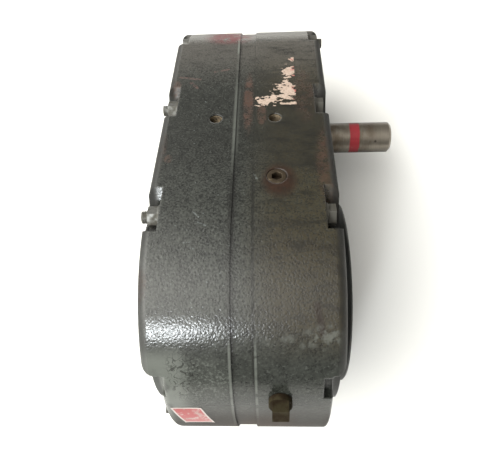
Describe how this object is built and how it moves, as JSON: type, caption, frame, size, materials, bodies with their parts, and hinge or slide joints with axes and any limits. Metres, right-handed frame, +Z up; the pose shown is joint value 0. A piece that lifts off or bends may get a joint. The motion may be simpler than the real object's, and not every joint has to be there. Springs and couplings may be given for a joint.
{
  "type": "shaft mount reducer",
  "caption": "Shaft mounted gear reducer: teardrop cast casing split on its middle plane, hollow output hub with tapered bushes, side input shaft and a two-stage helical train.",
  "frame": {"origin": "middle of the output bore, on the casing's joint plane", "axes": "+X along the output bore towards the input shaft, +Y from the bore to the input end, +Z up; the casing rests on its lower flat edge"},
  "size_m": [0.3075, 0.5246, 0.3],
  "materials": {
    "casing_paint": "dark grey hammered paint over cast iron, worn and rusted at the edges",
    "cover_paint": "dark grey paint",
    "cap_steel": "painted over with the casing",
    "fastener_steel": "painted over and tarnished",
    "shaft_steel": "bare, oily and tarnished brown",
    "gear_steel": "machined",
    "bearing_steel": "ground",
    "hub_iron": "turned",
    "seal_rubber": "matt",
    "gasket_paper": "oiled"
  },
  "bodies": {
    "casing": {"casing_bolts": "fastener_steel", "casing_left_half": "casing_paint", "casing_nuts": "fastener_steel", "casing_right_half": "casing_paint", "casing_washers": "fastener_steel", "dowel_pins": "fastener_steel", "drain_plug": "fastener_steel", "filler_plug": "fastener_steel", "input_bearing_left_outer_ring": "bearing_steel", "input_bearing_right_outer_ring": "bearing_steel", "input_cap": "cap_steel", "input_seal": "seal_rubber", "intermediate_bearing_left_outer_ring": "bearing_steel", "intermediate_bearing_right_outer_ring": "bearing_steel", "intermediate_cap_left": "cap_steel", "intermediate_cap_right": "cap_steel", "output_bearing_left_outer_ring": "bearing_steel", "output_bearing_right_outer_ring": "bearing_steel", "output_cover_gasket_left": "gasket_paper", "output_cover_gasket_right": "gasket_paper", "output_cover_left": "cover_paint", "output_cover_right": "cover_paint", "output_cover_screws": "fastener_steel", "output_seal_left": "seal_rubber", "output_seal_right": "seal_rubber"},
    "output": {"bush_left": "hub_iron", "bush_right": "hub_iron", "bush_screws": "fastener_steel", "output_bearing_left_inner_ring": "bearing_steel", "output_bearing_left_rollers": "bearing_steel", "output_bearing_right_inner_ring": "bearing_steel", "output_bearing_right_rollers": "bearing_steel", "output_gear": "gear_steel", "output_gear_key": "gear_steel", "output_hub": "hub_iron"},
    "intermediate": {"intermediate_bearing_left_inner_ring": "bearing_steel", "intermediate_bearing_left_rollers": "bearing_steel", "intermediate_bearing_right_inner_ring": "bearing_steel", "intermediate_bearing_right_rollers": "bearing_steel", "intermediate_gear": "gear_steel", "intermediate_gear_key": "gear_steel", "intermediate_pinion_shaft": "gear_steel", "intermediate_spacer": "gear_steel"},
    "input": {"input_bearing_left_inner_ring": "bearing_steel", "input_bearing_left_rollers": "bearing_steel", "input_bearing_right_inner_ring": "bearing_steel", "input_bearing_right_rollers": "bearing_steel", "input_pinion_shaft": "shaft_steel"}
  },
  "joints": [
    {"name": "output_spin", "type": "hinge", "parent": "casing", "child": "output", "pos_m": [0, 0, 0], "axis": [1, 0, 0], "continuous": true},
    {"name": "intermediate_spin", "type": "hinge", "parent": "casing", "child": "intermediate", "pos_m": [0, 0.13804, -0.04099], "axis": [1, 0, 0], "continuous": true},
    {"name": "input_spin", "type": "hinge", "parent": "casing", "child": "input", "pos_m": [0, 0.22863, -0.0679], "axis": [1, 0, 0], "continuous": true}
  ],
  "couplings": [
    {"joint": "intermediate_spin", "follows": "output_spin", "ratio": -4.1429},
    {"joint": "input_spin", "follows": "output_spin", "ratio": 13.257}
  ]
}
